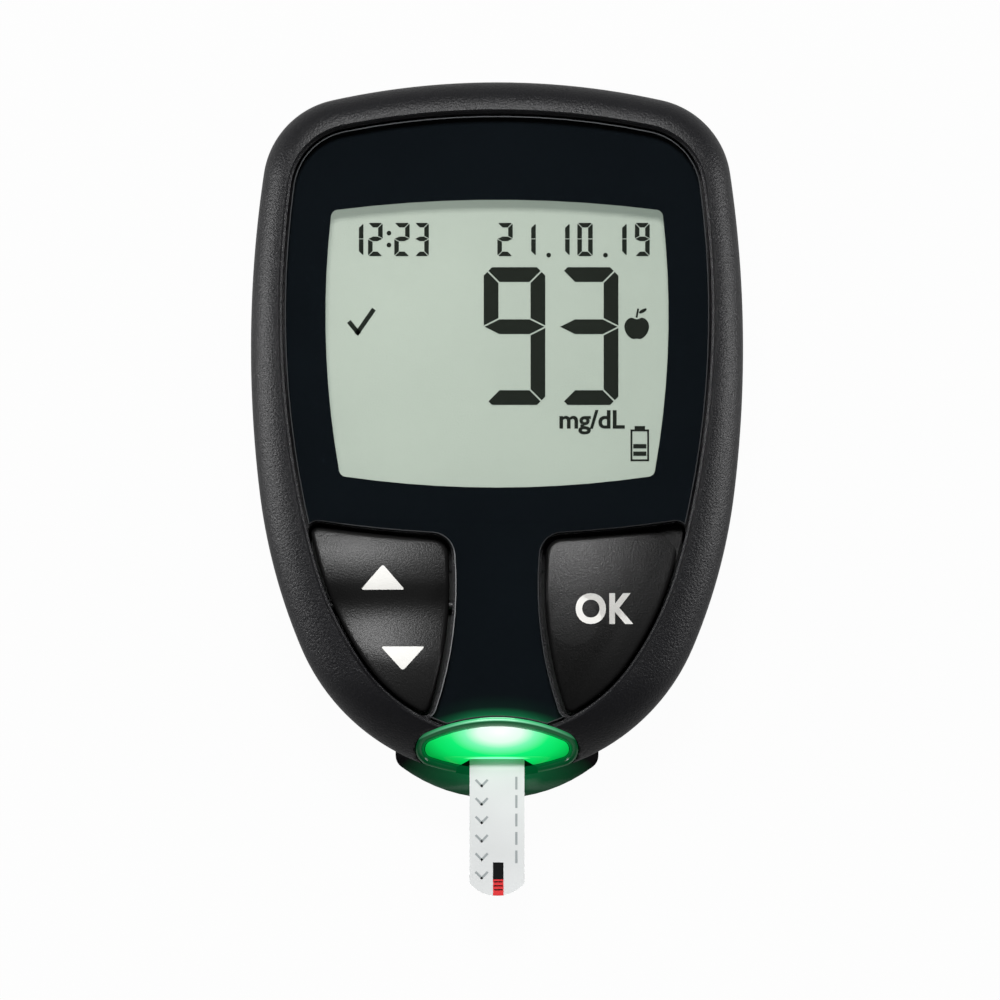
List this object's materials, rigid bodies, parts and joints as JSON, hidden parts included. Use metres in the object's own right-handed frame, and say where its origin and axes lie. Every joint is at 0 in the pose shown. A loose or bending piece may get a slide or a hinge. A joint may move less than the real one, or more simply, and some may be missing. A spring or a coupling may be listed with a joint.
{
  "type": "blood glucose meter",
  "caption": "Handheld blood glucose meter with a rimmed glossy face, segment display, rocker and OK buttons, a lit strip port and a test strip in it.",
  "frame": {"origin": "centre of the flat back face that the meter lies on", "axes": "+X to the right of the screen, +Y to the top of the meter, +Z out of the screen"},
  "size_m": [0.056, 0.0926, 0.0176],
  "materials": {
    "housing": "fine textured black ABS",
    "lens": "clear hard-coated acrylic",
    "print_black": "black screen-printed film",
    "adhesive": "black adhesive foam",
    "lcd_glass": "display glass",
    "reflector": "grey-green reflector film",
    "white_plastic": "natural moulded plastic",
    "elastomer": "layered contact elastomer",
    "circuit_board": "green solder mask",
    "chip_resin": "moulded epoxy",
    "chip_ceramic": "fired ceramic",
    "steel": "nickel-plated steel",
    "gilt_copper": "gilt copper",
    "led_resin": "lit resin",
    "light_guide": "translucent green acrylic",
    "gloss_black": "polished black plastic",
    "button_plastic": "fine textured dark grey plastic",
    "silicone": "grey silicone",
    "strip_film": "white polyester film"
  },
  "bodies": {
    "meter": {"front_housing": "housing", "rear_housing": "housing", "front_lens": "lens", "lens_print": "print_black", "lens_adhesive": "adhesive", "lcd_front_glass": "lcd_glass", "lcd_rear_glass": "lcd_glass", "lcd_reflector": "reflector", "lcd_frame": "white_plastic", "zebra_connector": "elastomer", "main_board": "circuit_board", "microcontroller": "chip_resin", "radio_module": "steel", "radio_antenna": "gilt_copper", "clock_crystal": "steel", "chip_parts": "chip_ceramic", "buzzer": "chip_resin", "port_led": "led_resin", "port_light_guide": "light_guide", "port_bezel": "gloss_black", "strip_connector": "white_plastic", "strip_contacts": "gilt_copper", "rocker_pin": "steel", "keypad_mat": "silicone", "snap_domes": "steel", "coin_cell_left": "steel", "coin_cell_right": "steel", "battery_springs": "steel", "battery_clips": "steel", "case_screws": "steel"},
    "rocker": {"scroll_rocker": "button_plastic"},
    "ok": {"ok_button": "button_plastic"},
    "cover": {"battery_cover": "housing"},
    "strip": {"strip_base": "strip_film", "strip_spacer": "strip_film", "strip_cover": "strip_film"}
  },
  "joints": [
    {"name": "rocker_tilt", "type": "hinge", "parent": "meter", "child": "rocker", "pos_m": [-0.012, -0.0187, 0.01315], "axis": [1, 0, 0], "range_deg": [-2.2, 2.2], "stiffness_Nm_per_rad": 0.02},
    {"name": "ok_press", "type": "slide", "parent": "meter", "child": "ok", "axis": [0, 0, -1], "range_m": [0, 0.00045], "stiffness_N_per_m": 800, "springref_m": -0.0004},
    {"name": "cover_slide", "type": "slide", "parent": "meter", "child": "cover", "axis": [0, 1, 0], "range_m": [0, 0.045]},
    {"name": "strip_pull", "type": "slide", "parent": "meter", "child": "strip", "axis": [0, -1, 0], "range_m": [0, 0.03]}
  ]
}
